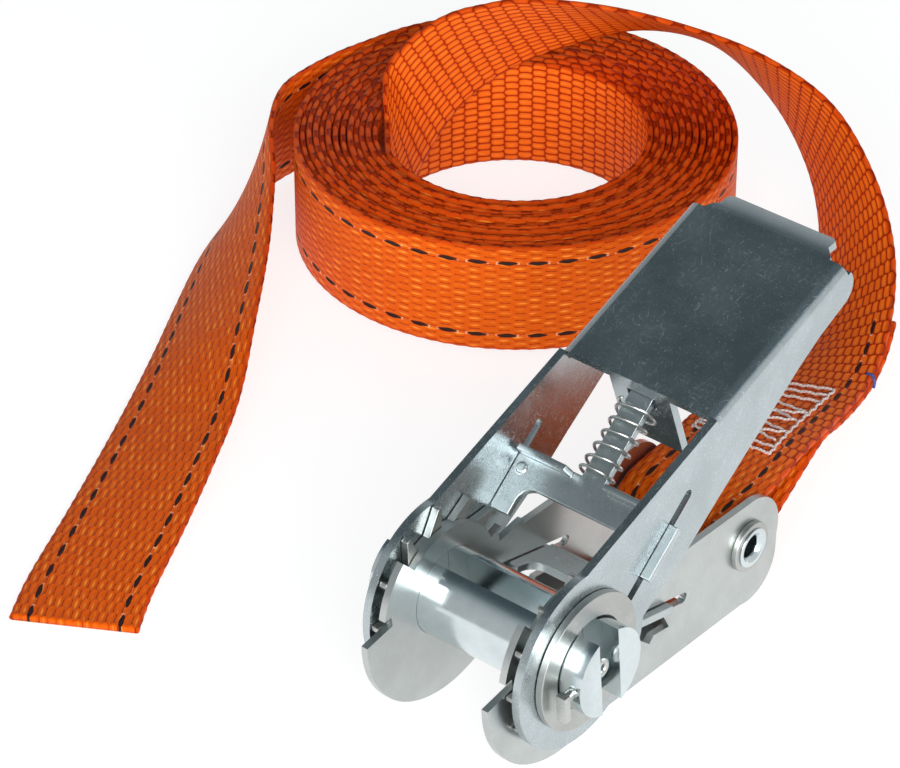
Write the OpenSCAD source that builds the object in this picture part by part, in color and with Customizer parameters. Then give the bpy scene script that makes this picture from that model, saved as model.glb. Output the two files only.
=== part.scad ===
// Light ratchet tie down: a 25 mm webbing ratchet with its coiled strap.
// Z is up, X runs along the spool axis and Y runs from the spool to the rear rivet.

/* [Webbing] */
// Width of the webbing
web_w = 25; // [24:0.5:25]
// Thickness of the webbing
web_t = 1.4; // [1.2:0.1:1.5]
// Outer radius of the wound coil
coil_r = 47; // [44:0.5:50]
// Radius of the coil's open middle
coil_hole_r = 27.5; // [25:0.5:30]

/* [Base frame] */
// Clear width between the two side plates
channel_w = 25.6; // [25.6:0.1:26]
// Thickness of the frame's sheet steel
frame_t = 1.4; // [1.2:0.1:1.4]
// Radius of the round front end that the frame stands on
disc_r = 21.7; // [21:0.1:23]
// Distance from the spool axis to the rear rivet
rivet_y = 53.8; // [52:0.1:56]
// Slope of the frame as it lies on the floor, rear end down, in degrees
frame_slope = 8.6; // [8:0.1:9]

/* [Handle] */
// Outer width of the handle
handle_w = 35.2; // [35.2:0.1:36]
// Thickness of the handle's sheet steel
handle_t = 1.6; // [1.4:0.1:1.6]
// Radius of the ears round the spool
ear_r = 17.4; // [17.2:0.1:18]
// Outer radius of the bends between the handle's top and sides
bend_r = 2.4; // [2:0.1:3]
// Height of the top plate's outer face above the spool axis
top_n = 16.3; // [16:0.1:17]
// Start of the top plate along the handle
top_start = 45.1; // [44:0.1:46]
// End of the top plate along the handle
top_end = 84.9; // [84:0.1:86]
// Angle of the handle above the frame, as it stands open
handle_open = 27.7; // [27:0.1:28]

/* [Spool] */
// Radius of the two half shafts together
shaft_r = 8.5; // [8.3:0.1:8.6]
// Width of the slot between the half shafts
slot_w = 5.2; // [5:0.1:5.4]
// Half of the length of a half shaft
shaft_end = 23.8; // [23:0.1:25]
// Direction of the slot above the level, in degrees
slot_angle = 95; // [90:1:100]

/* [Ratchet wheels] */
// Number of teeth
teeth = 12; // [12:12]
// Radius of the tooth tips
tip_r = 17; // [17:0.1:17.1]
// Radius between the teeth
root_r = 12.6; // [12.4:0.1:12.8]
// Thickness of a wheel
wheel_t = 1.5; // [1.4:0.1:1.5]

/* [Pawls] */
// Thickness of the pawl plates
pawl_t = 1.6; // [1.5:0.1:1.6]
// Distance that a pawl slides from resting on the tips to fully engaged
engage = 2.2; // [2:0.1:2.2]

/* [Hidden] */
$fn = 96;

steel = [0.74, 0.76, 0.76];
bright_steel = [0.82, 0.86, 0.88];
orange = [0.93, 0.36, 0.08];

// Where the spool axis stands on the floor, so that the origin is under the middle of the whole part
spool_at = [62.74, -67.55, disc_r];

row_at = [spool_at[0], spool_at[1], 0];

running = 0.05;             // radial clearance of the shaft in its bearings
side_gap = 0.15;            // clearance between plates that slide past each other
frame_in = channel_w / 2;
frame_out = frame_in + frame_t;
wheel_in = frame_out + side_gap;
wheel_out = wheel_in + wheel_t;
handle_out = handle_w / 2;
handle_in = handle_out - handle_t;

// The cam edge of the frame, as angles round the spool axis
cam_r = tip_r + 0.2;        // lifts the drive pawl off the teeth as the handle folds right over
low_r = 13;                 // lets the drive pawl drop into the teeth
lip_r = 15.9;               // holds the drive pawl when the handle is closed
lip_from = 25;
lip_to = 28.6;
cam_from = 142;
handle_max = 177.5;         // handle folded right over, drive pawl in the frame's front notch

// The drive pawl slides on a line that is tilted in the handle and passes below the spool axis
drive_tilt = 20;
drive_drop = 4.2;
drive_tip = 17.1;
// The lock pawl slides nearly along the frame
lock_tilt = -5.1;
lock_drop = 0.45;
lock_tip = 17.45;
slot_play = 0.25;
// Where the ears' slots begin and end along each slide
drive_slot = [13.4, 35.4];
lock_slot = [14.8, 36];

washer_r = 13.2;
washer_t = 1.5;
cotter_x = 21.6;
cotter_r = 1;
eye_r = 1.35;
eye_wire_r = 0.65;

rivet_r = 3;
rivet_bore = 2.2;
sleeve_r = 4.2;
rivet_head_r = 3.9;
rivet_head_t = 0.35;
rivet_flare = 0.9;          // how deep and how wide the bore opens at each end
rivet_washer_r = 5;
rivet_washer_t = 1.2;

tab_y = 41;                 // front face of the tab that the lock spring pushes on
tab_t = 1.4;

// Middle of the coil, from the spool axis
coil_at = [-98.4, 124.5];
// Route of the strap from the inside of the coil to the frame, and its width direction
lead_points = [[-121.4, 111.1, 12.8], [-121.8, 115.3, 18.5], [-123.5, 121.6, 23.2], [-122, 127.7, 28.4],
    [-118.4, 133.8, 32.7], [-112.8, 139.3, 36], [-107, 145, 38], [-94.5, 155.8, 39], [-79.6, 162.5, 37.4],
    [-63, 163.8, 33], [-47.5, 161, 26.3], [-34.5, 152.8, 18.8], [-24, 140.7, 12.7], [-16.5, 125.6, 9.6],
    [-11.4, 109.2, 10.3], [-7.4, 92.7, 13.5], [-3.5, 76.1, 17.3], [0, 63.5, 19.3]];
lead_sides = [[0, 0, 1], [-0.06, -0.3, 0.95], [-0.14, -0.45, 0.88], [-0.1, -0.48, 0.87],
    [-0.03, -0.5, 0.87], [0.05, -0.57, 0.82], [0.1, -0.63, 0.77], [0.21, -0.76, 0.61], [0.23, -0.77, 0.59],
    [0.27, -0.57, 0.77], [0.36, -0.27, 0.89], [0.48, -0.04, 0.87], [0.65, 0.16, 0.75], [0.82, 0.27, 0.5],
    [0.95, 0.29, 0.15], [0.97, 0.24, 0.06], [0.98, 0.16, 0.04], [1, 0, 0]];
lead = smooth(lead_points);
lead_side = [for (w = smooth(lead_sides)) unit(w)];
layer_gap = 0.25;           // between the two layers of the sewn end
under_to = 26;              // the folded end reaches back to this point of the lead
// Route of the loose end's left edge on the floor, and how far the strap leans up from flat
tail_foot = [[-86.4, -37.8], [-92.3, -27], [-100.3, -8.8], [-107.6, 7.2], [-115.3, 23.5], [-123.8, 40.7],
    [-132.4, 57], [-139.3, 70.6], [-143.8, 82], [-147, 94], [-148.6, 106], [-148, 116], [-146.3, 126]];
tail_lean = [0, 2, 6, 10, 15, 28, 37, 46, 56, 72, 84, 88, 90];

// Points on an arc, for outlines
function arc(r, a0, a1, n = 12, c = [0, 0]) =
    [for (i = [0 : n]) let (a = a0 + (a1 - a0) * i / n) c + r * [cos(a), sin(a)]];

// A ring sector that reaches from radius r outwards, for cutting the cam edge
module sector(r, a0, a1) {
    reach = disc_r + 4;
    polygon(concat(arc(r, a0, a1), arc(reach, a1, a0)));
}

// A flat plate of thickness t, whose outline (to the rear, up) is the 2D child
module plate(x, t) {
    translate([x, 0, 0]) rotate([90, 0, 90]) linear_extrude(t) children();
}

// The same plate on both sides of the middle
module side_plates(x, t) {
    plate(x, t) children();
    plate(-x - t, t) children();
}

// Places a piece that is drawn round the spool axis, with Y along the frame
module on_frame() {
    translate(spool_at) rotate([-frame_slope, 0, 0]) children();
}

// Places a piece that is drawn with Y along the handle
module on_handle() {
    on_frame() rotate([handle_open, 0, 0]) children();
}

// Places a flat pawl: X across, Y along its slide, Z through its thickness
module on_slide(tilt, drop) {
    rotate([tilt, 0, 0]) translate([0, 0, -drop]) children();
}

// A slot in a side plate that a pawl's ear slides in
module ear_slot(tilt, drop, from, to) {
    h = pawl_t + 2 * slot_play;
    rotate(tilt) {
        translate([from, -drop - h / 2]) square([to - from - h / 2, h]);
        translate([to - h / 2, -drop]) circle(r = h / 2, $fn = 32);
    }
}

// ---- base frame ----

module frame_body_outline() {
    rear_top = [54.4, 0.3];
    rear_low = [55.8, -5.3];
    circle(r = disc_r);
    translate(rear_top) circle(r = 9);
    translate(rear_low) circle(r = 8);
    polygon([[0, 0], [13.9, 3.7], [20, 5.3], [28, 6.3], [53.5, 9.2], rear_top, [63.3, -0.5],
        [63.7, -4], rear_low, [55, -13.2], [14, -18.2], [0, -12]]);
}

module frame_side_outline() {
    stop_r = 14.8;              // bottom of the notch behind the closed handle's lip
    stop_from = 17;
    notch_from = 14.6;          // bottom of the front notch, for the handle folded right over
    notch_play = 0.3;
    notch_turn = 14;            // how far before that notch the cam edge ends
    window = [[20.5, -2], [21, -6.5], [25.8, -9.6], [26.8, -8.2], [31.4, -8.2], [27.5, -3]];
    difference() {
        frame_body_outline();
        sector(low_r, lip_to, cam_from);
        sector(lip_r, lip_from, lip_to + 1);
        sector(stop_r, stop_from, lip_from + 1);
        sector(cam_r, cam_from - 1, handle_max + drive_tilt - notch_turn);
        rotate(handle_max + drive_tilt)
            translate([notch_from, -drive_drop - pawl_t / 2 - notch_play])
            square([12, pawl_t + 2 * notch_play]);
        ear_slot(lock_tilt, lock_drop, lock_slot[0], lock_slot[1]);
        polygon(window);
        circle(r = shaft_r + running);
        translate([rivet_y, 0]) circle(r = rivet_r + running);
    }
}

module base_frame() {
    web_from = 24;              // the floor of the channel, between the side plates
    web_to = 46;
    tab_w = 11;
    tab_h = 15;
    tab_low = -13.4;
    tongue_hole = [5.4, 8, 2.2];    // lets the lock pawl's tongue through the tab
    color(steel) on_frame() {
        side_plates(frame_in, frame_t) frame_side_outline();
        plate(-frame_out + 0.2, 2 * frame_out - 0.4)
            polygon([[web_from, -16.3], [web_to, -13.6], [web_to, -12.2], [web_from, -14.9]]);
        difference() {
            translate([-tab_w / 2, tab_y, tab_low]) cube([tab_w, tab_t, tab_h]);
            on_slide(lock_tilt, lock_drop) translate([0, tab_y, 0]) cube(tongue_hole, center = true);
        }
    }
}

module rear_rivet() {
    half = frame_out + rivet_washer_t;
    end = half + rivet_head_t;
    color(bright_steel) on_frame() translate([0, rivet_y, 0]) rotate([0, 90, 0]) difference() {
        union() {
            cylinder(r = rivet_r, h = 2 * end, center = true);
            for (s = [-1, 1]) translate([0, 0, s * (half + rivet_head_t / 2)])
                cylinder(r = rivet_head_r, h = rivet_head_t, center = true);
        }
        cylinder(r = rivet_bore, h = 3 * half, center = true);
        for (m = [0, 1]) mirror([0, 0, m]) translate([0, 0, end - rivet_flare])
            cylinder(r1 = rivet_bore, r2 = rivet_bore + rivet_flare, h = rivet_flare);
    }
}

module ring_x(x, t, r, bore) {
    translate([x, 0, 0]) rotate([0, 90, 0]) difference() {
        cylinder(r = r, h = t);
        translate([0, 0, -1]) cylinder(r = bore, h = t + 2);
    }
}

module rivet_sleeve() {
    length = channel_w - 0.3;
    color(bright_steel) on_frame() translate([0, rivet_y, 0])
        ring_x(-length / 2, length, sleeve_r, rivet_r + running);
}

module rivet_washer(x) {
    color(steel) on_frame() translate([0, rivet_y, 0])
        ring_x(x, rivet_washer_t, rivet_washer_r, rivet_r + running);
}

// ---- pawls ----

// Outline of a pawl: x across, y along its slide from the finger tips
module pawl_outline(finger_in, half_w, ear_out, body_y, neck_w, neck_y, arch_y) {
    difference() {
        union() {
            translate([-half_w, 0]) square([2 * half_w, body_y]);
            translate([-ear_out, 0.5]) square([2 * ear_out, body_y - 1.5]);
            translate([-neck_w / 2, body_y - 1]) square([neck_w, neck_y - body_y + 1]);
        }
        hull() for (s = [-1, 1]) {
            translate([s * (finger_in - 3), arch_y - 3]) circle(r = 3, $fn = 32);
            translate([s * (finger_in - 0.5), -1]) circle(r = 0.5, $fn = 32);
        }
    }
}

// Two small raised marks, pressed up from a pawl's upper face
module dimples(x, y, top_r, sides) {
    for (s = [-1, 1]) translate([s * x, y, pawl_t / 2 - 0.01])
        cylinder(r1 = 1.3, r2 = top_r, h = 0.4, $fn = sides);
}

module lock_pawl() {
    color(steel) on_frame() on_slide(lock_tilt, lock_drop) translate([0, lock_tip, 0]) {
        translate([0, 0, -pawl_t / 2]) linear_extrude(pawl_t)
            pawl_outline(finger_in = 10.5, half_w = 12.5, ear_out = wheel_out, body_y = 13,
                neck_w = 4.4, neck_y = 26, arch_y = 5);
        dimples(8.6, 8.8, 0.3, 4);
    }
}

module drive_pawl() {
    wing = [10.8, 1.2, 4.2];    // each half of the bent front flange
    wing_x = 9.6;
    wing_y = 11;
    ear_past = 2;               // how far its ears stand out of the handle
    color(bright_steel) on_handle() on_slide(drive_tilt, drive_drop) translate([0, drive_tip, 0]) {
        translate([0, 0, -pawl_t / 2]) linear_extrude(pawl_t)
            pawl_outline(finger_in = 11.8, half_w = 15.7, ear_out = handle_out + ear_past,
                body_y = 12.2, neck_w = 5, neck_y = 31, arch_y = 6);
        dimples(14, 8.7, 0.7, 96);
        for (s = [-1, 1]) translate([s * wing_x - wing[0] / 2, wing_y, 0]) cube(wing);
    }
}

// A compression spring round a pawl's neck, as one swept wire
module coil_spring(r, wire_r, turns, length) {
    steps = 14;
    sides = 6;
    count = turns * steps;
    rings = [for (i = [0 : count]) let (a = 360 * i / steps, y = wire_r + (length - 2 * wire_r) * i / count)
        [for (k = [0 : sides - 1]) let (b = 360 * k / sides, q = r + wire_r * cos(b))
            [q * cos(a), y + wire_r * sin(b), q * sin(a)]]];
    points = [for (ring = rings) each ring];
    walls = [for (i = [0 : count - 1], k = [0 : sides - 1]) let (n = (k + 1) % sides)
        [i * sides + k, (i + 1) * sides + k, (i + 1) * sides + n, i * sides + n]];
    first = [for (k = [0 : sides - 1]) k];
    last = [for (k = [sides - 1 : -1 : 0]) count * sides + k];
    polyhedron(points, concat([first], walls, [last]), convexity = 10);
}

module lock_spring() {
    from = lock_tip + 13.2;
    color(bright_steel) on_frame() on_slide(lock_tilt, lock_drop)
        translate([0, from, 0]) coil_spring(3.1, 0.4, 5, tab_y - from - 0.5);
}

module drive_spring() {
    from = drive_tip + 12.5;
    seat = top_start - 0.2;     // the tongue's front face, met by the spring's top first
    color(bright_steel) on_handle() on_slide(drive_tilt, drive_drop)
        translate([0, from, 0]) coil_spring(3.4, 0.45, 6, seat - from);
}

// ---- handle ----

module handle_side_outline() {
    end_r = 3.8;                // rounds the lower corner at the handle's far end
    end_at = [top_end - 2.6, 12.4];
    difference() {
        union() {
            circle(r = ear_r);
            translate(end_at) circle(r = end_r);
            polygon([[4, top_n - 0.2], [top_end - 0.2, top_n], end_at + [end_r, 0],
                end_at - [0, end_r], [74.5, 7.9], [67.9, 6.6], [59.4, 4.3], [51.1, 2.1],
                [40.1, -0.9], [30, -4], [14, -7.2], [0, 0]]);
        }
        circle(r = shaft_r + running);
        ear_slot(drive_tilt, drive_drop, drive_slot[0], drive_slot[1]);
    }
}

// Cross-section of the handle's top: a plate with a round bend down to each side
module handle_top_outline() {
    leg = top_n - bend_r - 1;
    middle = [handle_out - bend_r, top_n - bend_r];
    outer = arc(bend_r, 0, 90, 6, middle);
    inner = arc(bend_r - handle_t, 90, 0, 6, middle);
    right = concat([[handle_out, leg]], outer, inner, [[handle_in, leg]]);
    for (m = [0, 1]) mirror([m, 0]) polygon(right);
    square_w = 2 * (handle_out - bend_r) + 0.2;
    translate([-square_w / 2, top_n - handle_t]) square([square_w, handle_t]);
}

// Lip at the handle's far end: the plate rolls gently down between two cut corners
module handle_lip() {
    roll_r = 13;
    roll = 24;
    root_w = 28;
    end_w = 24;
    reach = roll_r * sin(roll);
    corner = 1.4;
    overlap = 0.5;
    middle = [top_end, top_n - roll_r];
    outer = arc(roll_r, 90, 90 - roll, 8, middle);
    inner = arc(roll_r - handle_t, 90 - roll, 90, 8, middle);
    intersection() {
        rotate([90, 0, 90]) linear_extrude(root_w, center = true)
            polygon(concat([[top_end - overlap, top_n]], outer, inner,
                [[top_end - overlap, top_n - handle_t]]));
        translate([0, top_end, 0]) linear_extrude(top_n + 1) offset(r = corner) offset(delta = -corner)
            polygon([[-root_w / 2, -5], [root_w / 2, -5], [root_w / 2, 0.4], [end_w / 2, 2.4],
                [end_w / 2, reach], [-end_w / 2, reach], [-end_w / 2, 2.4], [-root_w / 2, 0.4]]);
    }
}

module handle() {
    tongue_w = 13.4;
    tongue_drop = 16;
    neck_hole = [6.2, 10, 2.6];     // lets the drive pawl's neck through the tongue
    past = 60;
    color(steel) on_handle() {
        side_plates(handle_in, handle_t) difference() {
            handle_side_outline();
            translate([top_start, top_n - bend_r]) square(past);
        }
        translate([0, top_end, 0]) rotate([90, 0, 0])
            linear_extrude(top_end - top_start) handle_top_outline();
        handle_lip();
        difference() {
            translate([-tongue_w / 2, top_start, top_n - tongue_drop])
                cube([tongue_w, handle_t, tongue_drop - 0.4]);
            on_slide(drive_tilt, drive_drop) translate([0, 48, 0]) cube(neck_hole, center = true);
        }
    }
}

// ---- spool ----

module half_shaft(side) {
    color(bright_steel) translate(spool_at) rotate([slot_angle - 90, 0, 0])
        difference() {
            rotate([0, 90, 0]) cylinder(r = shaft_r, h = 2 * shaft_end, center = true);
            translate([-shaft_end - 1, side > 0 ? -shaft_r - 1 : -slot_w / 2, -shaft_r - 1])
                cube([2 * shaft_end + 2, shaft_r + 1 + slot_w / 2, 2 * shaft_r + 2]);
            cotter_hole(side < 0 ? cotter_x : -cotter_x);
        }
}

module cotter_hole(x) {
    translate([x, 0, 0]) rotate([90, 0, 0]) cylinder(r = cotter_r + running, h = 30, center = true);
}

module wheel_outline() {
    pitch = 360 / teeth;
    first_face = 36.9;          // angle of one tooth's steep face
    difference() {
        polygon([for (k = [0 : teeth - 1]) let (a = first_face + k * pitch)
            each concat([root_r * [cos(a), sin(a)]], arc(tip_r, a, a + 3.2, 2),
                arc(root_r, a + 15.5, a + 26, 3))]);
        difference() {
            circle(r = shaft_r + 0.02);
            rotate(slot_angle + frame_slope) square([3 * shaft_r, slot_w - 0.06], center = true);
        }
    }
}

module ratchet_wheel(x) {
    color(steel) on_frame() plate(x, wheel_t) wheel_outline();
}

module hub_washer(x) {
    color(steel) translate(spool_at) ring_x(x, washer_t, washer_r, shaft_r + 0.3);
}

// A split pin through one half shaft: its eye sits in the slot and its tail lies bent outside
module cotter_pin(side) {
    x = side * cotter_x;
    outside = 1.6;              // how far the pin's tail stands out of the shaft
    tail = [2 * cotter_r, 1.4, 5.6];
    color(steel) translate(spool_at) rotate([slot_angle - 90, 0, 0]) mirror([0, side < 0 ? 1 : 0, 0]) {
        translate([x, -shaft_r - outside, 0]) rotate([-90, 0, 0])
            cylinder(r = cotter_r, h = shaft_r + outside - eye_r, $fn = 32);
        translate([x, 0, 0]) rotate([90, 0, 90]) rotate_extrude($fn = 48)
            translate([eye_r, 0]) circle(r = eye_wire_r, $fn = 24);
        translate([x - cotter_r, -shaft_r - outside - 1, -4.5]) cube(tail);
    }
}

// ---- webbing ----

function unit(v) = v / norm(v);

// Points between b and c on a smooth curve through a, b, c, d
function between(a, b, c, d, t) = 0.5 * (2 * b + (c - a) * t + (2 * a - 5 * b + 4 * c - d) * t * t
    + (3 * b - 3 * c + d - a) * t * t * t);

// A smooth curve through the points p, with n steps from each point to the next
function smooth(p, n = 2) = let (last = len(p) - 1) concat([for (i = [0 : last - 1], k = [0 : n - 1])
    between(p[max(i - 1, 0)], p[i], p[i + 1], p[min(i + 2, last)], k / n)], [p[last]]);

// Direction of travel at point i of a route
function heading(route, i) = unit(route[min(i + 1, len(route) - 1)] - route[max(i - 1, 0)]);

// Square to the strap's face at point i
function face(route, across, i) = unit(cross(heading(route, i), across[i]));

// A flat strap swept along route points, each with its own width direction
module strap(route, across) {
    n = len(route);
    rings = [for (i = [0 : n - 1])
        let (w = unit(across[i]) * web_w / 2, q = face(route, across, i) * web_t / 2)
        [route[i] + w + q, route[i] - w + q, route[i] - w - q, route[i] + w - q]];
    points = [for (ring = rings) each ring];
    walls = [for (i = [0 : n - 2], k = [0 : 3]) let (m = (k + 1) % 4, a = i * 4, b = a + 4)
        each k < 2 ? [[a + k, b + m, a + m], [a + k, b + k, b + m]]
            : [[a + k, b + k, a + m], [a + m, b + k, b + m]]];
    last = [for (k = [3 : -1 : 0]) (n - 1) * 4 + k];
    polyhedron(points, concat([[0, 1, 2, 3]], walls, [last]), convexity = 10);
}

// The strap from the coil's open middle, over the coil and down to the rear of the frame
module webbing_lead() {
    color(orange) translate(row_at) strap(lead, lead_side);
}

// The strap's sewn end: over the rear sleeve, round it and back under the strap
module webbing_eye() {
    round_r = sleeve_r + web_t / 2 + 0.1;
    c = [0, rivet_y * cos(frame_slope), disc_r - rivet_y * sin(frame_slope)];
    turn = [for (a = [90 : 15 : 270]) c + round_r * [0, cos(a), sin(a)]];
    start = lead[len(lead) - 1] - [0, 0.2, 0];
    enter = [turn[0] / 2 + start / 2 + [0, 0, 0.2], start];
    leave = [c + [0, 10, 3 - round_r], c + [0, 5, 0.4 - round_r]];
    back_turn = [for (i = [len(turn) - 1 : -1 : 0]) turn[i]];
    loop = concat(leave, back_turn, enter);
    under = [for (i = [under_to : len(lead) - 4])
        lead[i] - face(lead, lead_side, i) * (web_t + layer_gap)];
    under_side = [for (i = [under_to : len(lead) - 4]) lead_side[i]];
    color(orange) translate(row_at)
        strap(concat(under, loop), concat(under_side, [for (p = loop) [1, 0, 0]]));
}

// The wound strap, standing on its edge
module webbing_coil() {
    color(orange) translate([row_at[0] + coil_at[0], row_at[1] + coil_at[1], 0]) difference() {
        cylinder(r = coil_r, h = web_w);
        translate([0, 0, -1]) cylinder(r = coil_hole_r, h = web_w + 2);
    }
}

// The loose end: flat on the floor at the cut, then turning up on its left edge to stand beside the coil
module webbing_tail() {
    foot = smooth(tail_foot);
    lean = smooth(tail_lean);
    n = len(foot);
    side = [for (i = [0 : n - 1]) let (h = heading(foot, i))
        [h[1] * cos(lean[i]), -h[0] * cos(lean[i]), sin(lean[i])]];
    route = [for (i = [0 : n - 1]) [foot[i][0], foot[i][1], web_t / 2 + 0.3] + side[i] * web_w / 2];
    color(orange) translate(row_at) strap(route, side);
}

base_frame();
rear_rivet();
rivet_sleeve();
rivet_washer(frame_out);  // rivet_washer_right
rivet_washer(-frame_out - rivet_washer_t);  // rivet_washer_left
lock_pawl();
lock_spring();
handle();
drive_pawl();
drive_spring();
half_shaft(-1);  // shaft_half_front
half_shaft(1);  // shaft_half_rear
ratchet_wheel(wheel_in);  // ratchet_wheel_right
ratchet_wheel(-wheel_out);  // ratchet_wheel_left
hub_washer(handle_out + 0.1);  // hub_washer_right
hub_washer(-handle_out - 0.1 - washer_t);  // hub_washer_left
cotter_pin(1);  // cotter_pin_right
cotter_pin(-1);  // cotter_pin_left
webbing_eye();
webbing_lead();
webbing_coil();
webbing_tail();
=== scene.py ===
"""A light ratchet tie down with its coiled orange strap, on a pale floor."""

import math
import random

import bmesh
import bpy
import numpy as np
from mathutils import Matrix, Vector


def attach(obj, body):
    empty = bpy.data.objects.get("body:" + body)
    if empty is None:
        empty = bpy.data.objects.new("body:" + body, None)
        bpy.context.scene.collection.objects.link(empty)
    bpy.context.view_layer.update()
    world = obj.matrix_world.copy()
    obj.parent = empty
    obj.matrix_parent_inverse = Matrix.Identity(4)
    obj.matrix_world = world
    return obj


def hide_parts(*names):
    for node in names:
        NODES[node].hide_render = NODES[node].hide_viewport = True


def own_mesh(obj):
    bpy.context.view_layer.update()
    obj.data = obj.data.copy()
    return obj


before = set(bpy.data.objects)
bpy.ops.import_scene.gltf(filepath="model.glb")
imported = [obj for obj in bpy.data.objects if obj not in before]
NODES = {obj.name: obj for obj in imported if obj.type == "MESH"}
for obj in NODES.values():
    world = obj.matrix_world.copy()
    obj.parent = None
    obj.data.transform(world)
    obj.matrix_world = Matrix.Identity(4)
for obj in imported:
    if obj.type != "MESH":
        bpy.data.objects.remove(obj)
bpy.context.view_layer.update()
random.seed(7)
noise = np.random.default_rng(7)

MM = 0.001

# ---- places that part.scad sets, in millimetres ----

SPOOL_AT = np.array([62.74, -67.55, 0.0])  # foot of the spool axis
SPOOL_HEIGHT = 21.7
FRAME_SLOPE = math.radians(8.6)
HANDLE_OPEN = math.radians(27.7)
RIVET_Y = 53.8
SLEEVE_R = 4.2
WEB_W = 25.0
WEB_T = 1.15  # a little thinner than the CAD strap, which has no gap between its turns
COIL_AT = np.array([-98.4, 124.5])  # middle of the coil, from the spool axis


def deg(angle):
    return math.radians(angle)


def mix(a, b, t):
    return a + (b - a) * t


# ---- camera ----


CAMERA_TARGET = SPOOL_AT + np.array([-72.9, 73.1, 0.0])
CAMERA_DISTANCE = 0.82526
CAMERA_LENS = 166.2


def add_camera():
    """At the photograph's viewing angle: from the right and in front, looking down at 35 degrees."""
    target = Vector(CAMERA_TARGET) * MM
    direction = Vector((-0.5240, 0.6308, -0.5720))
    data = bpy.data.cameras.new("camera")
    data.lens = CAMERA_LENS
    data.sensor_width = 36.0
    data.clip_start = 0.05
    data.clip_end = 20.0
    camera = bpy.data.objects.new("camera", data)
    camera.location = target - direction * CAMERA_DISTANCE
    camera.rotation_euler = direction.to_track_quat("-Z", "Y").to_euler()
    bpy.context.scene.collection.objects.link(camera)
    bpy.context.scene.camera = camera


add_camera()

# ---- node helpers ----


class Shader:
    """Short calls for building one material's nodes."""

    def __init__(self, name):
        self.material = bpy.data.materials.new(name)
        self.material.use_nodes = True
        self.tree = self.material.node_tree
        self.out = self.tree.nodes["Principled BSDF"]

    def add(self, kind, **inputs):
        """A new node. Inputs go by name, with _ for a space, or by place, as i0, i1 and so on."""
        node = self.tree.nodes.new(kind)
        for name, value in inputs.items():
            self.put(node, name, value)
        return node

    def put(self, node, name, value):
        key = int(name[1:]) if name[0] == "i" and name[1:].isdigit() else name.replace("_", " ")
        socket = node.inputs[key]
        if isinstance(value, bpy.types.NodeSocket):
            self.tree.links.new(value, socket)
        else:
            socket.default_value = value

    def math(self, operation, a, b=0.0, c=0.0, clamp=False):
        node = self.add("ShaderNodeMath", i0=a, i1=b, i2=c)
        node.operation = operation
        node.use_clamp = clamp
        return node.outputs[0]

    def ramp(self, value, low, high, smooth=True):
        """0 below low and 1 above high."""
        node = self.add("ShaderNodeMapRange", i0=value, i1=low, i2=high)
        node.interpolation_type = "SMOOTHSTEP" if smooth else "LINEAR"
        return node.outputs[0]

    def colour(self, factor, a, b):
        node = self.tree.nodes.new("ShaderNodeMix")
        node.data_type = "RGBA"
        self.put(node, "i0", factor)
        self.put(node, "i6", a if isinstance(a, bpy.types.NodeSocket) else (*a, 1.0))
        self.put(node, "i7", b if isinstance(b, bpy.types.NodeSocket) else (*b, 1.0))
        return node.outputs[2]

    def noise(self, scale, detail=2.0, roughness=0.5, where=None, stretch=None):
        if where is None:
            where = self.add("ShaderNodeTexCoord").outputs["Object"]
        if stretch:
            where = self.add("ShaderNodeMapping", i0=where, i3=stretch).outputs[0]
        node = self.add("ShaderNodeTexNoise", Vector=where, Scale=scale)
        self.put(node, "Detail", detail)
        self.put(node, "Roughness", roughness)
        return node.outputs[0]

    def bump(self, height, distance, strength=1.0, after=None):
        node = self.add("ShaderNodeBump", Strength=strength, Distance=distance, Height=height)
        if after is not None:
            self.put(node, "Normal", after)
        return node.outputs[0]

    def set(self, **inputs):
        for name, value in inputs.items():
            self.put(self.out, name, value)


# ---- materials ----


def steel(name, colour, rough, scratch=0.5, blotch=0.05, grain=0.3):
    """Zinc-plated steel: short fine scratches every way, small specks and a slightly uneven shine."""
    pale = (0.90, 0.94, 0.95)
    s = Shader(name)
    where = s.add("ShaderNodeTexCoord").outputs["Object"]
    cloudy = s.noise(85.0, 4.0, 0.6, where)
    fine = s.noise(2600.0, 3.0, 0.6, where)
    specks = s.ramp(s.noise(2300.0, 1.0, 0.5, where), 0.69, 0.76)
    lines = 0.0
    for turn in ((0.3, 0.2, 0.6), (1.1, 0.5, -0.5), (-0.6, 0.9, 1.7), (0.4, -0.8, 2.6)):
        turned = s.add("ShaderNodeMapping", i0=where, i2=turn).outputs[0]
        streak = s.ramp(s.noise(5200.0, 1.0, 0.5, turned, (1.0, 0.09, 0.09)), 0.66, 0.78)
        lines = s.math("MAXIMUM", lines, streak)
    worn = s.math("MULTIPLY", lines, s.ramp(cloudy, 0.30, 0.62))
    dark = tuple(c * (1.0 - 2.0 * blotch) for c in colour)
    light = tuple(min(1.0, c * (1.0 + 1.2 * blotch)) for c in colour)
    base = s.colour(s.ramp(cloudy, 0.3, 0.7), dark, light)
    base = s.colour(s.math("MULTIPLY", fine, grain), base, tuple(c * 0.55 for c in colour))
    for mark in (worn, specks):
        base = s.colour(s.math("MULTIPLY", mark, 0.35 * scratch), base, pale)
    uneven = s.math("MULTIPLY_ADD", cloudy, 0.14, rough - 0.07)
    uneven = s.math("MULTIPLY_ADD", s.math("MAXIMUM", worn, specks), 0.16 * scratch, uneven)
    normal = s.bump(fine, 0.00002, 0.35)
    normal = s.bump(lines, 0.00001, 0.2 * scratch, normal)
    s.set(Base_Color=base, Metallic=1.0, Roughness=uneven, Normal=normal)
    return s.material


FLOAT_WIDE = WEB_W / 15.0  # one repeat of the weave across the strap
FLOAT_LONG = 6.0  # and along it
TRACER_IN = 3.75  # tracer thread from the strap's edge
TRACER_PITCH = 6.0


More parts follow.
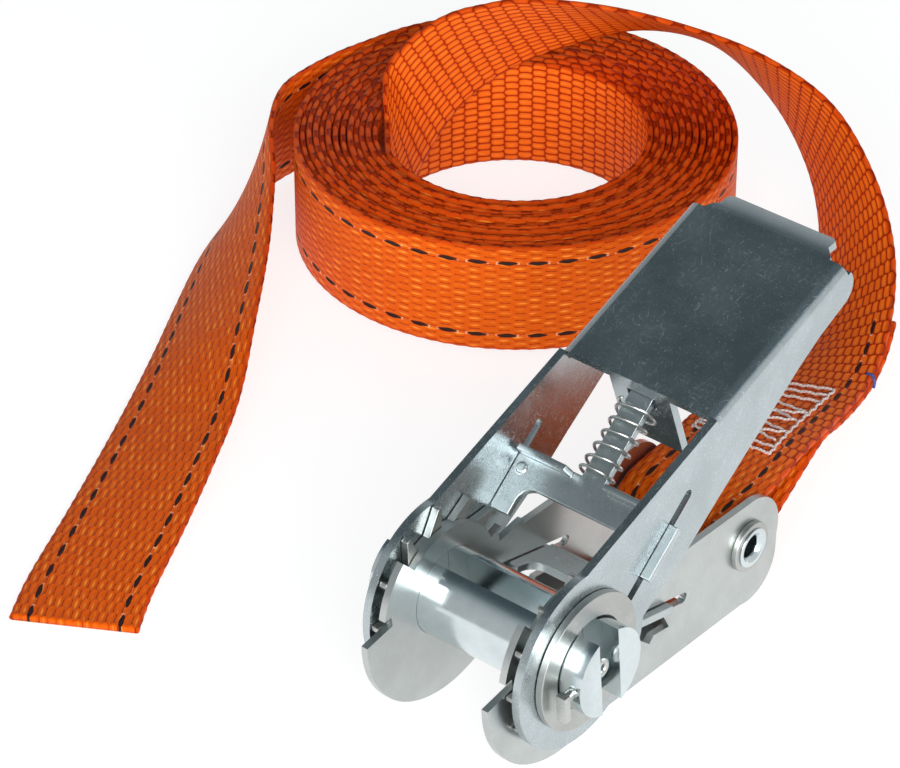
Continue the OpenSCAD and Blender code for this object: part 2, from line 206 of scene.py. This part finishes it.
def oval(s, a, half_a, power_a, b, half_b, power_b):
    """0 at a = b = 0 and 1 on a rounded outline that is half_a by half_b."""
    one = s.math("POWER", s.math("DIVIDE", a, half_a), power_a)
    return s.math("ADD", one, s.math("POWER", s.math("DIVIDE", b, half_b), power_b))


def from_middle(s, value, repeat, offset):
    """Distance from the middle of a repeat, from 0 to 1 at its ends."""
    place = s.math("FRACT", s.math("ADD", s.math("DIVIDE", value, repeat), offset))
    return s.math("ABSOLUTE", s.math("MULTIPLY_ADD", place, 2.0, -1.0))


def webbing():
    """Woven polyester: UV runs across and along the strap in millimetres."""
    s = Shader("orange_webbing_weave")
    uv = s.add("ShaderNodeUVMap")
    uv.uv_map = "strap_mm"
    parts = s.add("ShaderNodeSeparateXYZ", i0=uv.outputs[0])
    across, along = parts.outputs[0], parts.outputs[1]
    wobble = s.noise(0.8, 2.0, where=uv.outputs[0])
    along_w = s.math("MULTIPLY_ADD", wobble, 0.9, along)
    # Brick-like weave: two sets of floats, each a lens on the surface, staggered by half a repeat.
    # On the ribbed face they are squarer and stand in columns
    ribbed = s.add("ShaderNodeAttribute")
    ribbed.attribute_name = "ribbed"
    square = ribbed.outputs["Fac"]
    reach = s.math("MULTIPLY_ADD", square, -0.16, 0.68)
    across_power = s.math("MULTIPLY_ADD", square, 1.6, 2.2)
    along_power = s.math("MULTIPLY_ADD", square, 3.0, 2.4)
    lenses, glint_spots = [], []
    for offset in (8.0, 8.5):
        u = from_middle(s, across, FLOAT_WIDE, offset)
        v = from_middle(s, along_w, FLOAT_LONG, offset)
        lens = oval(s, u, 0.97, across_power, v, reach, along_power)
        lenses.append(s.math("SUBTRACT", 1.0, lens, clamp=True))
        glint_spots.append(s.math("SUBTRACT", 1.0, oval(s, u, 0.34, 2.0, v, 0.50, 2.0), clamp=True))
    height = s.math("SQRT", s.math("MAXIMUM", *lenses))
    height = s.math("SUBTRACT", height, s.math("MULTIPLY", square, 0.40), clamp=True)
    gleam = s.math("MAXIMUM", *glint_spots)
    each = s.noise(2.1, 0.0, where=uv.outputs[0], stretch=(0.6, 0.16, 1.0))
    patchy = s.noise(0.12, 3.0, where=uv.outputs[0])
    fibre = s.noise(6.0, 2.0, 0.6, where=uv.outputs[0], stretch=(2.2, 0.25, 1.0))
    # Painted shade: the gaps between the floats get the dark colour and the float tops the lighter one,
    # following the float height.
    low = s.colour(patchy, (0.30, 0.012, 0.0006), (0.40, 0.021, 0.001))
    mid = s.colour(patchy, (0.68, 0.086, 0.002), (0.78, 0.122, 0.004))
    mid = s.colour(s.math("MULTIPLY", fibre, 0.45), mid, (0.52, 0.042, 0.001))
    base = s.colour(s.ramp(height, 0.06, 0.46), low, mid)
    # Painted highlight: a small bright glint in the middle of each float, stronger on some floats than on
    # others.
    painted_glint = s.math("MULTIPLY", gleam, s.ramp(each, 0.35, 0.7))
    base = s.colour(s.math("MULTIPLY", painted_glint, 0.80), base, (1.0, 0.36, 0.05))
    # Painted highlight: on the ribbed face the raised tops of the floats are painted a brighter orange.
    painted_rib_highlight = s.math("MULTIPLY", s.ramp(height, 0.30, 0.62), s.math("MULTIPLY", square, 0.65))
    base = s.colour(painted_rib_highlight, base, (0.88, 0.16, 0.012))
    edge = s.math("MINIMUM", across, s.math("SUBTRACT", WEB_W, across))
    rim = s.math("SUBTRACT", 1.0, s.ramp(edge, 0.35, 1.1))
    shaded = s.colour(s.ramp(height, 0.1, 0.7), (0.20, 0.006, 0.0006), (0.56, 0.045, 0.003))
    base = s.colour(s.math("MULTIPLY", rim, 0.8), base, shaded)
    # Tracer threads: a dashed line near each edge, where the mesh's own mark says that they show
    mark = s.add("ShaderNodeAttribute")
    mark.attribute_name = "tracer"
    near = s.math("ABSOLUTE", s.math("SUBTRACT", edge, TRACER_IN))
    dash = from_middle(s, along, TRACER_PITCH, 0.0)
    lens = oval(s, near, 0.52, 1.4, dash, 0.70, 1.8)
    shown = s.math("SUBTRACT", 1.0, s.ramp(lens, 0.75, 1.15))
    shown = s.math("MULTIPLY", shown, mark.outputs["Fac"])
    ends = s.math("SUBTRACT", s.ramp(dash, 0.58, 0.66), s.ramp(dash, 0.72, 0.82), clamp=True)
    ends = s.math("MULTIPLY", s.math("SUBTRACT", 1.0, s.ramp(near, 0.2, 0.45)), ends)
    pale = s.math("MULTIPLY", s.math("MULTIPLY", ends, mark.outputs["Fac"]), s.ramp(each, 0.3, 0.7))
    base = s.colour(s.math("MULTIPLY", pale, 0.6), base, (0.95, 0.60, 0.42))
    base = s.colour(shown, base, (0.018, 0.006, 0.010))
    normal = s.bump(fibre, 0.00008, 0.4)
    normal = s.bump(height, 0.0004, 0.6, normal)
    # Fibres run along the strap, so its sheen spreads across it
    tangent = s.tree.nodes.new("ShaderNodeTangent")
    tangent.direction_type = "UV_MAP"
    tangent.uv_map = "strap_mm"
    s.set(Base_Color=base, Roughness=0.55, Normal=normal)
    s.set(Tangent=tangent.outputs[0], Anisotropic=0.6)
    s.out.inputs["Specular IOR Level"].default_value = 0.3
    s.out.inputs["Specular Tint"].default_value = (1.0, 0.50, 0.12, 1.0)
    return s.material


def thread(name, colour, twist=1.0):
    """Twisted sewing thread."""
    s = Shader(name)
    uv = s.add("ShaderNodeUVMap")
    uv.uv_map = "strap_mm"
    parts = s.add("ShaderNodeSeparateXYZ", i0=uv.outputs[0])
    turn = s.math("MULTIPLY_ADD", parts.outputs[1], twist, parts.outputs[0])
    ply = s.math("MULTIPLY_ADD", s.math("SINE", s.math("MULTIPLY", turn, 2.0 * math.pi)), 0.5, 0.5)
    # Painted shade: the grooves between the plies are painted darker than the plies.
    base = s.colour(ply, tuple(c * 0.62 for c in colour), colour)
    s.set(Base_Color=base, Roughness=0.6, Normal=s.bump(ply, 0.0001, 0.8))
    return s.material


def floor_material():
    s = Shader("pale_floor")
    tone = s.noise(6.0, 3.0)
    s.set(Base_Color=s.colour(tone, (0.27, 0.27, 0.27), (0.29, 0.29, 0.29)), Roughness=0.8)
    s.out.inputs["Emission Color"].default_value = (1.0, 1.0, 1.0, 1.0)
    s.out.inputs["Emission Strength"].default_value = 0.80
    return s.material


# ---- strap ----


def smooth(points, n):
    """Points on a smooth curve through the given ones, with n steps from each to the next."""
    p = np.array(points, float)
    last = len(p) - 1
    out = []
    for i in range(last):
        a, b, c, d = p[max(i - 1, 0)], p[i], p[i + 1], p[min(i + 2, last)]
        for k in range(n):
            t = k / n
            bend = (2 * a - 5 * b + 4 * c - d) * t * t
            twist = (3 * b - 3 * c + d - a) * t**3
            out.append(0.5 * (2 * b + (c - a) * t + bend + twist))
    out.append(p[last])
    return np.array(out)


def unit(v):
    return v / np.maximum(np.linalg.norm(v, axis=-1, keepdims=True), 1e-9)


# Route of the strap from the inside of the coil to the frame, and its width direction. Both are
# from the spool axis
LEAD_POINTS = [
    (-121.4, 111.1, 12.8), (-121.8, 115.3, 18.5), (-123.5, 121.6, 23.2), (-122, 127.7, 28.4),
    (-118.4, 133.8, 32.7), (-112.8, 139.3, 36), (-107, 145, 38), (-94.5, 155.8, 39), (-79.6, 162.5, 37.4),
    (-63, 163.8, 33), (-47.5, 161, 26.3), (-34.5, 152.8, 18.8), (-24, 140.7, 12.7), (-16.5, 125.6, 9.6),
    (-11.4, 109.2, 10.3), (-7.4, 92.7, 13.5), (-3.5, 76.1, 17.3), (0, 63.5, 19.3),
]
LEAD_SIDES = [
    (0, 0, 1), (-0.06, -0.3, 0.95), (-0.14, -0.45, 0.88), (-0.1, -0.48, 0.87),
    (-0.03, -0.5, 0.87), (0.05, -0.57, 0.82), (0.1, -0.63, 0.77), (0.21, -0.76, 0.61), (0.23, -0.77, 0.59),
    (0.27, -0.57, 0.77), (0.36, -0.27, 0.89), (0.48, -0.04, 0.87), (0.65, 0.16, 0.75), (0.82, 0.27, 0.5),
    (0.95, 0.29, 0.15), (0.97, 0.24, 0.06), (0.98, 0.16, 0.04), (1, 0, 0),
]
ROUTE_STEPS = 8  # steps from each route point to the next
UNDER_TO = 13  # the folded end reaches back to this route point
LAYER_GAP = 0.25
TAIL_FOOT = [
    (-86.4, -37.8), (-92.3, -27), (-100.3, -8.8), (-107.6, 7.2), (-115.3, 23.5), (-123.8, 40.7), (-132.4, 57),
    (-139.3, 70.6), (-143.8, 82), (-147, 94), (-148.6, 106), (-148, 116), (-146.3, 126),
]
TAIL_LEAN = [0, 2, 6, 10, 15, 28, 37, 46, 56, 72, 84, 88, 90]
COIL_TURNS = 13.905
COIL_FROM = 210.0
COIL_R_IN, COIL_R_OUT = 27.3, 46.2
COIL_MIDDLE_Z = 12.9


def headings(route):
    ahead = np.vstack([route[1:], route[-1:]])
    behind = np.vstack([route[:1], route[:-1]])
    return unit(ahead - behind)


def lead_route():
    return smooth(LEAD_POINTS, ROUTE_STEPS), unit(smooth(LEAD_SIDES, ROUTE_STEPS))


def eye_route():
    """The folded end under the strap, round the rear sleeve and up to where the lead starts."""
    lead, side = lead_route()
    face = unit(np.cross(headings(lead), side))
    first, last = UNDER_TO * ROUTE_STEPS, len(lead) - 12
    under = lead[first:last] - face[first:last] * (WEB_T + LAYER_GAP + 0.1)
    rivet_z = SPOOL_HEIGHT - RIVET_Y * math.sin(FRAME_SLOPE)
    middle = np.array([0.0, RIVET_Y * math.cos(FRAME_SLOPE), rivet_z])
    r = SLEEVE_R + WEB_T / 2 + 0.15
    angles = [deg(a) for a in range(270, 80, -15)]
    turn = [middle + r * np.array([0.0, math.cos(a), math.sin(a)]) for a in angles]
    leave = [middle + [0, 10, 3 - r], middle + [0, 5, 0.4 - r]]
    end = lead[-1] + np.array([0.0, -2.5, 0.0])
    under = under[::4]
    route = np.vstack([under, leave, turn, [(turn[-1] + end) / 2 + [0, 0, 0.2], end]])
    level = np.tile([1.0, 0.0, 0.0], (len(route) - len(under), 1))
    sides = np.vstack([side[first:last][::4], level])
    return smooth(route, 4), unit(smooth(sides, 4))


def coil_route():
    """The wound turns, from the open middle outwards, a little loose as if wound by hand."""
    count = int(COIL_TURNS * 150)
    turns = np.linspace(0.0, COIL_TURNS, count)
    angle = np.radians(COIL_FROM + 360.0 * turns)
    radius = mix(COIL_R_IN, COIL_R_OUT, turns / COIL_TURNS)
    loose = 0.16 * np.sin(angle * 2.0 + turns * 0.7) + 0.10 * np.sin(angle * 3.0 - turns * 1.3)
    loose *= np.sin(np.pi * np.clip(turns / COIL_TURNS, 0, 1)) ** 0.5
    radius = radius + loose
    last = np.clip((turns - COIL_TURNS + 0.3) / 0.3, 0.0, 1.0)
    radius += 1.6 * last * last * (3 - 2 * last)  # the last part swings out to meet the loose end
    rise = 0.35 * np.sin(angle * 0.37 + 1.0) + 0.22 * np.sin(angle * 1.9)
    x, y = COIL_AT[0] + radius * np.cos(angle), COIL_AT[1] + radius * np.sin(angle)
    route = np.stack([x, y, COIL_MIDDLE_Z + rise], axis=1)
    return route, np.tile([0.0, 0.0, 1.0], (count, 1))


def tail_route():
    """From the coil to the cut end: on its edge at first, then flat on the floor."""
    foot = smooth(TAIL_FOOT, ROUTE_STEPS)[::-1]
    lean = np.radians(smooth([[a] for a in TAIL_LEAN], ROUTE_STEPS)[::-1, 0])
    ahead = headings(np.column_stack([foot, np.zeros(len(foot))]))
    side = np.stack([-ahead[:, 1] * np.cos(lean), ahead[:, 0] * np.cos(lean), np.sin(lean)], axis=1)
    route = np.column_stack([foot, np.full(len(foot), WEB_T / 2 + 0.3)]) + side * WEB_W / 2
    return route, side


def strap_route(step):
    """The whole strap from its folded end to its cut end, at even steps, with its tracer marks."""
    lead, lead_side = lead_route()
    back, back_side = lead[::-1][4:], lead_side[::-1][4:]
    coil, coil_side = coil_route()
    pieces = [eye_route(), (back, back_side), (coil[12:-6], coil_side[12:-6]), tail_route()]
    route = np.vstack([p[0] for p in pieces])
    side = np.vstack([p[1] for p in pieces])
    # Marks for the two faces: a tracer shows near the frame, on the coil's outer side and on the tail
    sewn = np.arange(len(back)) < len(lead) - 4 - UNDER_TO * ROUTE_STEPS
    on_back = np.column_stack([np.zeros(len(back)), sewn])
    marks = np.vstack([
        np.tile([1.0, 1.0], (len(pieces[0][0]), 1)), on_back,
        np.tile([1.0, 0.0], (len(pieces[2][0]), 1)), np.tile([1.0, 1.0], (len(pieces[3][0]), 1)),
    ])
    at = np.concatenate([[0.0], np.cumsum(np.linalg.norm(np.diff(route, axis=0), axis=1))])
    even = np.arange(0.0, at[-1], step)

    def take(values):
        return np.stack([np.interp(even, at, column) for column in values.T], axis=1)

    route, side, marks = take(route), take(side), take(marks)
    kernel = np.hanning(9)[1:-1]
    kernel /= kernel.sum()
    half = len(kernel) // 2
    for values in (route, side):
        for k in range(3):
            first, last = values[0, k], values[-1, k]
            padded = np.concatenate([np.full(half, first), values[:, k], np.full(half, last)])
            smoothed = np.convolve(padded, kernel, "valid")
            values[half:-half, k] = smoothed[half:-half]
    return even, route, unit(side), marks


def strap_profile():
    """Cross-section of the strap in millimetres, round at its edges: one face, then the other."""
    half_t = WEB_T / 2
    straight = WEB_W / 2 - half_t
    upper = [(u, half_t) for u in np.linspace(-0.5, 0.5, 13) * (WEB_W - WEB_T)]
    turn = (deg(45), deg(90), deg(135))
    edge = [(straight + half_t * math.sin(a), half_t * math.cos(a)) for a in turn]
    lower = [(u, -t) for u, t in reversed(upper)]
    other = [(-u, -t) for u, t in edge]
    return np.array(upper + edge + lower + other)


STRAP_STEP = 0.75  # length of one row of faces
SELVEDGE_PERIOD = 2.9


def make_strap():
    along, route, side, marks = strap_route(STRAP_STEP)
    print("strap length", round(float(along[-1]) / 1000, 3), "m, stations", len(along))
    face = unit(np.cross(headings(route), side))
    profile = strap_profile()
    count = len(profile)
    # Selvedge yarns make the edges slightly wavy
    drift = 0.10 * noise.standard_normal(len(along)).cumsum() / 40
    wavy = 0.07 * np.sin(2 * np.pi * along / SELVEDGE_PERIOD) + drift
    width = profile[:, 0][None, :] * (1 + wavy[:, None] / 12.5)
    points = SPOOL_AT + route[:, None, :] + side[:, None, :] * width[:, :, None]
    points += face[:, None, :] * profile[:, 1][None, :, None]
    mesh = bpy.data.meshes.new("strap")
    quads = []
    for i in range(len(along) - 1):
        a, b = i * count, (i + 1) * count
        quads += [(a + k, a + (k + 1) % count, b + (k + 1) % count, b + k) for k in range(count)]
    last = (len(along) - 1) * count
    ends = [tuple(range(count - 1, -1, -1)), tuple(last + k for k in range(count))]
    mesh.from_pydata((points.reshape(-1, 3) * MM).tolist(), [], quads + ends)
    flat = np.clip(profile[:, 0] + WEB_W / 2, 0.0, WEB_W)
    uv = mesh.uv_layers.new(name="strap_mm")
    loop_vertex = np.zeros(len(mesh.loops), np.int32)
    mesh.loops.foreach_get("vertex_index", loop_vertex)
    station, place = loop_vertex // count, loop_vertex % count
    coords = np.stack([flat[place], along[station]], axis=1)
    uv.data.foreach_set("uv", coords.ravel().astype(np.float32))
    # Mark 0 is the face on the +face side, mark 1 the other
    one_face = profile[:, 1] >= 0
    tracer = np.where(one_face[None, :], marks[:, :1], marks[:, 1:])
    attribute = mesh.attributes.new("tracer", "FLOAT", "POINT")
    attribute.data.foreach_set("value", tracer.ravel().astype(np.float32))
    # The other face, seen inside the coil and on the way to the frame, has deeper ribs, with more painted
    # shade between its floats and a painted highlight on their tops
    on_coil = (along > 110.0) & (along < along[-1] - 190.0)
    ribs = np.where(one_face[None, :], 0.0, 1.0) * on_coil[:, None]
    attribute = mesh.attributes.new("ribbed", "FLOAT", "POINT")
    attribute.data.foreach_set("value", ribs.ravel().astype(np.float32))
    mesh.polygons.foreach_set("use_smooth", [True] * len(mesh.polygons))
    strap = bpy.data.objects.new("strap", mesh)
    bpy.context.scene.collection.objects.link(strap)
    strap.data.materials.append(webbing())
    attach(strap, "frame")
    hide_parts("webbing_eye", "webbing_lead", "webbing_coil", "webbing_tail")


make_strap()

# ---- threads and wires ----


def tube(name, lines, radius, sides=10):
    """Round wires along lines of points in millimetres, as one closed mesh. UV runs round and along."""
    points, faces, coords = [], [], []
    for line in lines:
        line = np.asarray(line, float)
        ahead = headings(line)
        up = np.tile([0.13, 0.31, 0.94], (len(line), 1))
        one = unit(np.cross(ahead, up))
        other = np.cross(ahead, one)
        turn = np.linspace(0, 2 * np.pi, sides, endpoint=False)
        ring = np.cos(turn)[None, :, None] * one[:, None] + np.sin(turn)[None, :, None] * other[:, None]
        ring = radius * ring
        start = len(points)
        points += (line[:, None] + ring).reshape(-1, 3).tolist()
        at = np.concatenate([[0.0], np.cumsum(np.linalg.norm(np.diff(line, axis=0), axis=1))])
        coords += [(k / sides, at[i]) for i in range(len(line)) for k in range(sides)]
        for i in range(len(line) - 1):
            a, b = start + i * sides, start + (i + 1) * sides
            faces += [(a + k, a + (k + 1) % sides, b + (k + 1) % sides, b + k) for k in range(sides)]
        end = start + (len(line) - 1) * sides
        faces += [tuple(start + k for k in reversed(range(sides))), tuple(end + k for k in range(sides))]
    mesh = bpy.data.meshes.new(name)
    mesh.from_pydata((np.array(points) * MM).tolist(), [], faces)
    uv = mesh.uv_layers.new(name="strap_mm")
    for loop in mesh.loops:
        uv.data[loop.index].uv = coords[loop.vertex_index]
    fixer = bmesh.new()
    fixer.from_mesh(mesh)
    bmesh.ops.recalc_face_normals(fixer, faces=fixer.faces)
    fixer.to_mesh(mesh)
    fixer.free()
    mesh.polygons.foreach_set("use_smooth", [True] * len(mesh.polygons))
    piece = bpy.data.objects.new(name, mesh)
    bpy.context.scene.collection.objects.link(piece)
    return piece


LEAD, LEAD_SIDE = lead_route()
LEAD_FACE = unit(np.cross(headings(LEAD), LEAD_SIDE))


def on_lead(across, station, lift):
    """A point on the sewn part: across from its middle, at a route point, above its upper face."""
    place = station * ROUTE_STEPS
    index = np.arange(len(LEAD))

    def at(values):
        return np.array([np.interp(place, index, values[:, k]) for k in range(3)])

    return SPOOL_AT + at(LEAD) + at(LEAD_SIDE) * across + at(LEAD_FACE) * (WEB_T / 2 + lift)


STITCH = 3.0  # length of one stitch
STITCH_R = 0.27


def sewn_line(corners):
    """A line of lockstitch through corners (across, station): it dips into the weave at each stitch."""
    corners = np.array(corners, float)
    out = []
    travelled = random.uniform(0, STITCH)
    for a, b in zip(corners[:-1], corners[1:]):
        length = np.linalg.norm(on_lead(*b, 0) - on_lead(*a, 0))
        count = max(2, int(length / 0.4))
        for k in range(count):
            across, station = a + (b - a) * k / count
            travelled += length / count
            lift = 0.14 + 0.26 * abs(math.sin(math.pi * travelled / STITCH))
            sway = 0.12 * math.sin(travelled * 2.1 + a[0])
            out.append(on_lead(across + sway, station + sway * 0.012, lift))
    out.append(on_lead(*corners[-1], 0.2))
    return out


def make_stitches():
    """The sewn block that closes the loop round the rear sleeve: rows, and zigzags between them."""
    rows = [[(-9.5, 14.46), (7.4, 14.40)], [(-9.5, 14.62), (7.2, 14.58)], [(-9.3, 14.80), (6.9, 14.77)]]
    rows += [[(-9.6, 16.10), (7.2, 16.14)], [(-9.4, 16.24), (7.3, 16.30)]]
    zigzag = [[(-9.0, 14.85), (6.9, 15.12), (-9.1, 15.42), (7.0, 15.70), (-9.2, 16.02)]]
    zigzag += [[(-8.0, 14.98), (6.0, 15.36), (-8.2, 15.62), (6.3, 15.98)]]
    sides = [[(7.4, 14.40), (6.9, 15.3), (7.3, 16.30)], [(-9.6, 14.44), (-9.2, 15.3), (-9.6, 16.26)]]
    stitches = tube("stitches", [sewn_line(line) for line in rows + zigzag + sides], STITCH_R)
    stitches.data.materials.append(thread("pale_thread", (0.86, 0.73, 0.69), 1.3))
    loose = [(11.0, 13.94, 0.05), (11.9, 13.95, 0.15), (12.6, 13.97, 0.0)]
    loose += [(13.0, 14.0, -1.1), (12.8, 14.01, -2.0)]
    marker = tube("blue_thread", [[on_lead(*place) for place in loose]], 0.3)
    marker.data.materials.append(thread("blue_thread", (0.05, 0.09, 0.35), 1.0))
    for piece in (stitches, marker):
        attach(piece, "frame")


make_stitches()


def spring_axis(node, fixed):
    """(start, direction, length) of a CAD spring, from its fixed end, in millimetres."""
    points = np.array([v.co for v in node.data.vertices]) @ np.array(node.matrix_world.to_3x3()).T
    points = (points + np.array(node.matrix_world.translation)) / MM
    middle = points.mean(axis=0)
    spread = np.linalg.svd(points - middle, full_matrices=False)[2][0]
    along = (points - middle) @ spread
    low, high = middle + spread * along.min(), middle + spread * along.max()
    if np.linalg.norm(low - fixed) > np.linalg.norm(high - fixed):
        low, high = high, low
    return low, unit(high - low), float(np.linalg.norm(high - low))


def make_spring(name, node, body, fixed, turns, wire_r, r_fixed, r_free):
    """A wound spring with closed end turns."""
    start, axis, length = spring_axis(NODES[node], np.array(fixed))
    one = unit(np.cross(axis, [1.0, 0.0, 0.0]))
    other = np.cross(axis, one)
    total = turns + 1.5
    t = np.linspace(0.0, 1.0, int(total * 40))
    turn = t * total
    closed = 1.8 * wire_r / length  # rise of the closed turns at each end
    lift = np.interp(turn, [0.0, 0.75, total - 0.75, total], [0.0, closed, 1 - closed, 1.0])
    lift = wire_r + lift * (length - 2 * wire_r)
    r = mix(r_fixed, r_free, np.clip(turn / 2.5, 0, 1))
    angle = 2 * np.pi * turn + 0.6
    line = start + lift[:, None] * axis + (r * np.cos(angle))[:, None] * one
    line = line + (r * np.sin(angle))[:, None] * other
    spring = tube(name, [line], wire_r, 12)
    spring.data.materials.append(wire)
    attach(spring, body)
    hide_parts(node)
    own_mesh(spring)


# ---- lights and floor ----


def add_floor():
    mesh = bpy.data.meshes.new("floor")
    half = 3.0  # metres
    corners = [(-half, -half, 0), (half, -half, 0), (half, half, 0), (-half, half, 0)]
    mesh.from_pydata(corners, [], [(0, 1, 2, 3)])
    floor = bpy.data.objects.new("floor", mesh)
    floor.data.materials.append(floor_material())
    bpy.context.scene.collection.objects.link(floor)


def add_area(name, at, towards, size, power, colour=(1, 1, 1)):
    data = bpy.data.lights.new(name, "AREA")
    data.shape = "RECTANGLE"
    data.size, data.size_y = size
    data.energy = power
    data.color = colour
    light = bpy.data.objects.new(name, data)
    light.location = at
    light.rotation_euler = (Vector(towards) - Vector(at)).to_track_quat("-Z", "Y").to_euler()
    bpy.context.scene.collection.objects.link(light)


def add_world():
    """A studio: bright near the horizon, dim and slightly blue overhead, darker on the left."""
    world = bpy.data.worlds.new("studio")
    bpy.context.scene.world = world
    world.use_nodes = True
    tree = world.node_tree
    coords = tree.nodes.new("ShaderNodeTexCoord")
    parts = tree.nodes.new("ShaderNodeSeparateXYZ")
    tree.links.new(coords.outputs["Generated"], parts.inputs[0])
    ramp = tree.nodes.new("ShaderNodeValToRGB")
    tree.links.new(parts.outputs[2], ramp.inputs[0])
    # (height in the sky, brightness)
    stops = [(0.0, 0.95), (0.42, 0.92), (0.60, 0.84), (0.71, 0.60), (0.79, 0.24), (0.86, 0.12), (1.0, 0.24)]
    ramp.color_ramp.elements[0].position = stops[0][0]
    ramp.color_ramp.elements[1].position = stops[-1][0]
    for place, level in stops[1:-1]:
        ramp.color_ramp.elements.new(place)
    for element, (place, level) in zip(ramp.color_ramp.elements, stops):
        tint = 0.14 * (1.0 - level)
        element.color = (level * (1.0 - 2.2 * tint), level, level * (1.0 + tint), 1.0)
    side = tree.nodes.new("ShaderNodeMapRange")
    tree.links.new(parts.outputs[0], side.inputs[0])
    for k, value in enumerate((-0.9, 0.2, 0.55, 1.0)):
        side.inputs[k + 1].default_value = value
    shade = tree.nodes.new("ShaderNodeMix")
    shade.data_type = "RGBA"
    shade.blend_type = "MULTIPLY"
    shade.inputs[0].default_value = 1.0
    tree.links.new(ramp.outputs[0], shade.inputs[6])
    tree.links.new(side.outputs[0], shade.inputs[7])
    tree.links.new(shade.outputs[2], tree.nodes["Background"].inputs[0])
    tree.nodes["Background"].inputs[1].default_value = 0.82


add_floor()
add_world()
add_area("key", (0.78, -0.80, 0.52), (0, 0, 0.02), (1.1, 0.7), 18.0)
bpy.context.scene.view_settings.view_transform = "Standard"

# ---- steel pieces ----


def soften(name, width, segments=2, angle=35.0):
    """Rounds a CAD node's sharp edges a little, as rolled and deburred steel has."""
    node = NODES[name]
    merge = node.modifiers.new("weld", "WELD")
    merge.merge_threshold = 0.000001
    clean = node.modifiers.new("planar", "DECIMATE")
    clean.decimate_type = "DISSOLVE"
    clean.angle_limit = deg(0.6)
    bevel = node.modifiers.new("bevel", "BEVEL")
    bevel.width = width
    bevel.segments = segments
    bevel.limit_method = "ANGLE"
    bevel.angle_limit = deg(angle)
    bevel.harden_normals = False
    for polygon in node.data.polygons:
        polygon.use_smooth = True
    weighted = node.modifiers.new("normals", "WEIGHTED_NORMAL")
    weighted.keep_sharp = True


def repaint(material, *names):
    for name in names:
        NODES[name].data.materials.clear()
        NODES[name].data.materials.append(material)


zinc = steel("zinc_plate", (0.54, 0.57, 0.56), 0.30, scratch=0.5)
zinc_handle = steel("zinc_handle", (0.51, 0.57, 0.59), 0.26, scratch=1.0)
zinc_pawl = steel("zinc_pawl", (0.55, 0.60, 0.61), 0.28, scratch=0.9)
bright = steel("bright_steel", (0.68, 0.75, 0.77), 0.15, scratch=0.4, grain=0.15)
washer_steel = steel("washer_steel", (0.49, 0.50, 0.48), 0.34, scratch=0.7)
wire = steel("spring_wire", (0.62, 0.63, 0.60), 0.28, scratch=0.3)

repaint(zinc, "base_frame")
repaint(zinc_handle, "handle")
repaint(zinc_pawl, "drive_pawl", "lock_pawl")
repaint(bright, "shaft_half_front", "shaft_half_rear", "rear_rivet", "rivet_sleeve")
repaint(washer_steel, "ratchet_wheel_right", "ratchet_wheel_left", "hub_washer_right", "hub_washer_left")
repaint(washer_steel, "rivet_washer_right", "rivet_washer_left")
repaint(wire, "cotter_pin_right", "cotter_pin_left")

make_spring(
    "drive_spring_wire", "drive_spring", "handle", (62.7, -30.1, 46.8),
    turns=5, wire_r=0.31, r_fixed=4.0, r_free=3.3,
)
make_spring(
    "lock_spring_wire", "lock_spring", "frame", (62.7, -28.3, 11.7),
    turns=5, wire_r=0.33, r_fixed=3.1, r_free=3.1,
)

for name, width in {
    "base_frame": 0.22, "handle": 0.22, "drive_pawl": 0.2, "lock_pawl": 0.2, "shaft_half_front": 0.25,
    "shaft_half_rear": 0.25, "rear_rivet": 0.25, "rivet_sleeve": 0.15, "ratchet_wheel_right": 0.15,
    "ratchet_wheel_left": 0.15, "hub_washer_right": 0.2, "hub_washer_left": 0.2, "rivet_washer_right": 0.2,
    "rivet_washer_left": 0.2, "cotter_pin_right": 0.15, "cotter_pin_left": 0.15,
}.items():
    soften(name, width * MM)
